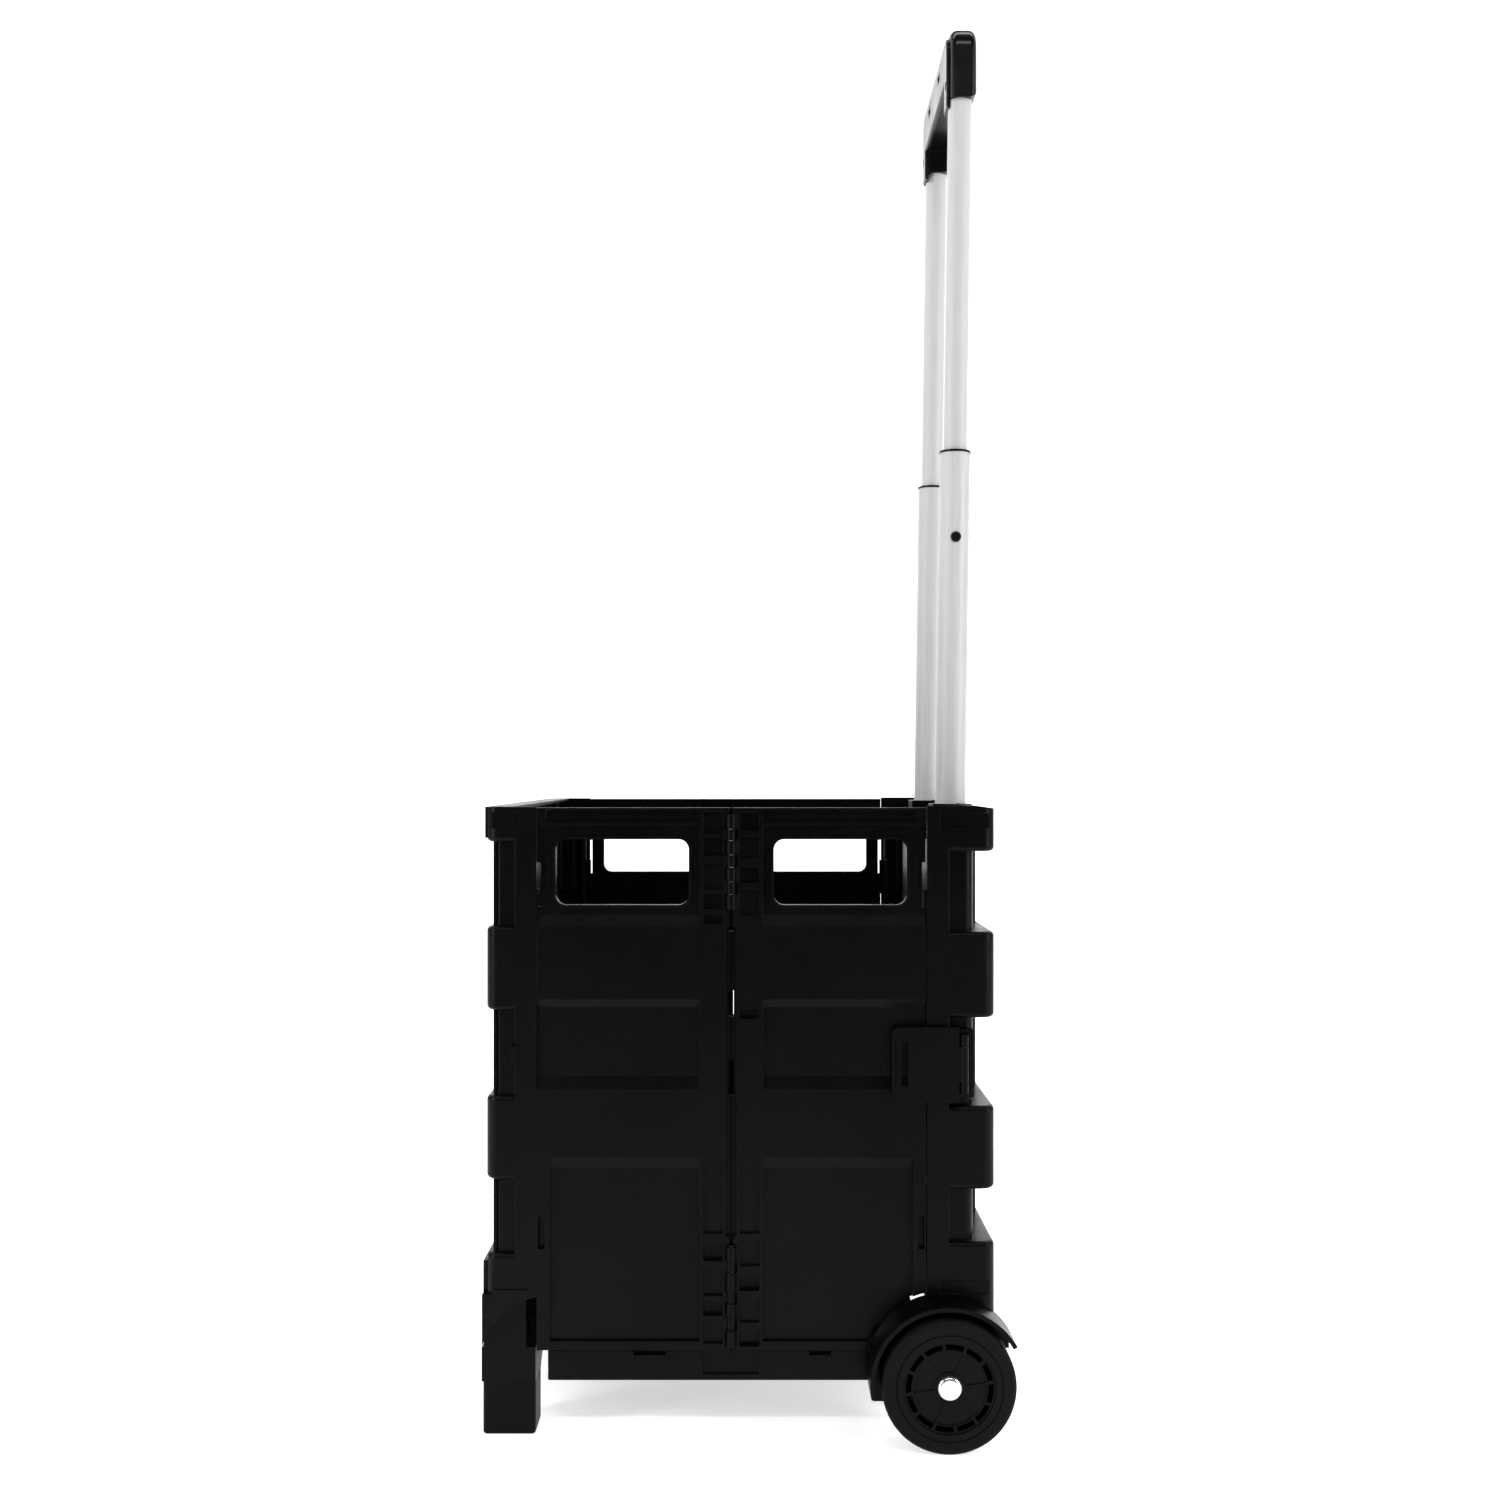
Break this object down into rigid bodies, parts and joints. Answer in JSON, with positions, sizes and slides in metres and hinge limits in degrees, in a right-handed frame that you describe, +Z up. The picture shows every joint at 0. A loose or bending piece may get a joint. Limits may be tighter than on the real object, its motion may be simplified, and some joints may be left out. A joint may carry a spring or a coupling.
{
  "type": "folding luggage cart",
  "caption": "Collapsible crate cart whose hinged side walls fold flat between two end walls, on two wheels and two feet, with a telescoping handle.",
  "frame": {"origin": "middle of the footprint, on the ground", "axes": "+Z up, +X from the front wall towards the handle, +Y towards the right side"},
  "size_m": [0.3579, 0.42, 1],
  "materials": {
    "box_plastic": "fine grained black polypropylene",
    "inner_plastic": "plain black plastic",
    "collar_plastic": "smooth black plastic",
    "wheel_plastic": "satin black plastic",
    "tread": "matt black rubber",
    "bush_plastic": "natural nylon",
    "cap_chrome": "bright dome",
    "pin_steel": "drawn wire",
    "screw_steel": "dark zinc",
    "support_steel": "black paint",
    "foot_plastic": "black moulded foot",
    "tube_silver": "satin silver",
    "grip_gloss": "polished black"
  },
  "bodies": {
    "rear_frame": {"rear_wall": "box_plastic", "arch_screws": "screw_steel", "floor_support_bar": "support_steel", "tube_guide_bushes": "inner_plastic", "latch_hinge_pin": "pin_steel", "wheel_arch_left": "box_plastic", "wheel_arch_right": "box_plastic", "axle_stub_left": "pin_steel", "axle_stub_right": "pin_steel", "axle_cap_left": "cap_chrome", "axle_cap_right": "cap_chrome", "tube_cover_left": "inner_plastic", "tube_cover_right": "inner_plastic", "rear_hinge_pin_left": "pin_steel", "rear_hinge_pin_right": "pin_steel"},
    "latch": {"latch_strap": "box_plastic"},
    "wheel_left": {"tyre_left": "tread", "wheel_rim_left": "wheel_plastic", "wheel_bush_left": "bush_plastic"},
    "wheel_right": {"tyre_right": "tread", "wheel_rim_right": "wheel_plastic", "wheel_bush_right": "bush_plastic"},
    "rear_panel_left": {"rear_panel_left": "box_plastic", "mid_hinge_pins_left": "pin_steel"},
    "rear_panel_right": {"rear_panel_right": "box_plastic", "mid_hinge_pins_right": "pin_steel"},
    "front_panel_left": {"front_panel_left": "box_plastic"},
    "front_panel_right": {"front_panel_right": "box_plastic"},
    "front_frame": {"front_wall": "box_plastic", "foot_screws": "screw_steel", "floor_hinge_pins": "pin_steel", "front_hinge_pin_left": "pin_steel", "front_hinge_pin_right": "pin_steel", "foot_left": "foot_plastic", "foot_right": "foot_plastic"},
    "floor": {"floor_panel": "box_plastic"},
    "handle_lower": {"lower_tube_plugs": "inner_plastic", "tube_collars": "collar_plastic", "lower_tube_left": "tube_silver", "lower_tube_right": "tube_silver"},
    "button_left": {"lock_button_left": "collar_plastic"},
    "button_right": {"lock_button_right": "collar_plastic"},
    "handle_upper": {"upper_tube_plugs": "inner_plastic", "grip_shell": "grip_gloss", "grip_front_cover": "grip_gloss", "grip_screws": "screw_steel", "upper_tube_left": "tube_silver", "upper_tube_right": "tube_silver"}
  },
  "joints": [
    {"name": "fold", "type": "hinge", "parent": "rear_frame", "child": "rear_panel_left", "pos_m": [0.1285, -0.176, 0.25], "axis": [0, 0, -1], "range_deg": [0, 90]},
    {"name": "fold_mid_left", "type": "hinge", "parent": "rear_panel_left", "child": "front_panel_left", "pos_m": [-0.0085, -0.18225, 0.25], "axis": [0, 0, 1], "range_deg": [0, 180]},
    {"name": "fold_front_left", "type": "hinge", "parent": "front_panel_left", "child": "front_frame", "pos_m": [-0.1455, -0.176, 0.25], "axis": [0, 0, -1], "range_deg": [0, 90]},
    {"name": "fold_rear_right", "type": "hinge", "parent": "rear_frame", "child": "rear_panel_right", "pos_m": [0.1285, 0.176, 0.25], "axis": [0, 0, 1], "range_deg": [0, 90]},
    {"name": "fold_mid_right", "type": "hinge", "parent": "rear_panel_right", "child": "front_panel_right", "pos_m": [-0.0085, 0.18225, 0.25], "axis": [0, 0, -1], "range_deg": [0, 180]},
    {"name": "floor_lift", "type": "hinge", "parent": "front_frame", "child": "floor", "pos_m": [-0.1605, 0, 0.05], "axis": [0, -1, 0], "range_deg": [0, 90]},
    {"name": "handle_lower_slide", "type": "slide", "parent": "rear_frame", "child": "handle_lower", "axis": [0.0138, 0, 0.9999], "range_m": [-0.255, 0]},
    {"name": "handle_upper_slide", "type": "slide", "parent": "handle_lower", "child": "handle_upper", "axis": [0.0138, 0, 0.9999], "range_m": [-0.25, 0]},
    {"name": "button_left_press", "type": "slide", "parent": "handle_lower", "child": "button_left", "axis": [0, 1, 0], "range_m": [0, 0.0008], "stiffness_N_per_m": 400},
    {"name": "button_right_press", "type": "slide", "parent": "handle_lower", "child": "button_right", "axis": [0, -1, 0], "range_m": [0, 0.0008], "stiffness_N_per_m": 400},
    {"name": "wheel_left_spin", "type": "hinge", "parent": "rear_frame", "child": "wheel_left", "pos_m": [0.1352, -0.195, 0.0444], "axis": [0, 1, 0], "continuous": true},
    {"name": "wheel_right_spin", "type": "hinge", "parent": "rear_frame", "child": "wheel_right", "pos_m": [0.1352, 0.195, 0.0444], "axis": [0, 1, 0], "continuous": true},
    {"name": "latch_swing", "type": "hinge", "parent": "rear_frame", "child": "latch", "pos_m": [0.148, -0.18575, 0.2528], "axis": [0, 0, 1], "range_deg": [0, 120]}
  ],
  "couplings": [
    {"joint": "fold_mid_left", "follows": "fold", "ratio": 2},
    {"joint": "fold_front_left", "follows": "fold", "ratio": 1},
    {"joint": "fold_rear_right", "follows": "fold", "ratio": 1},
    {"joint": "fold_mid_right", "follows": "fold", "ratio": 2}
  ]
}
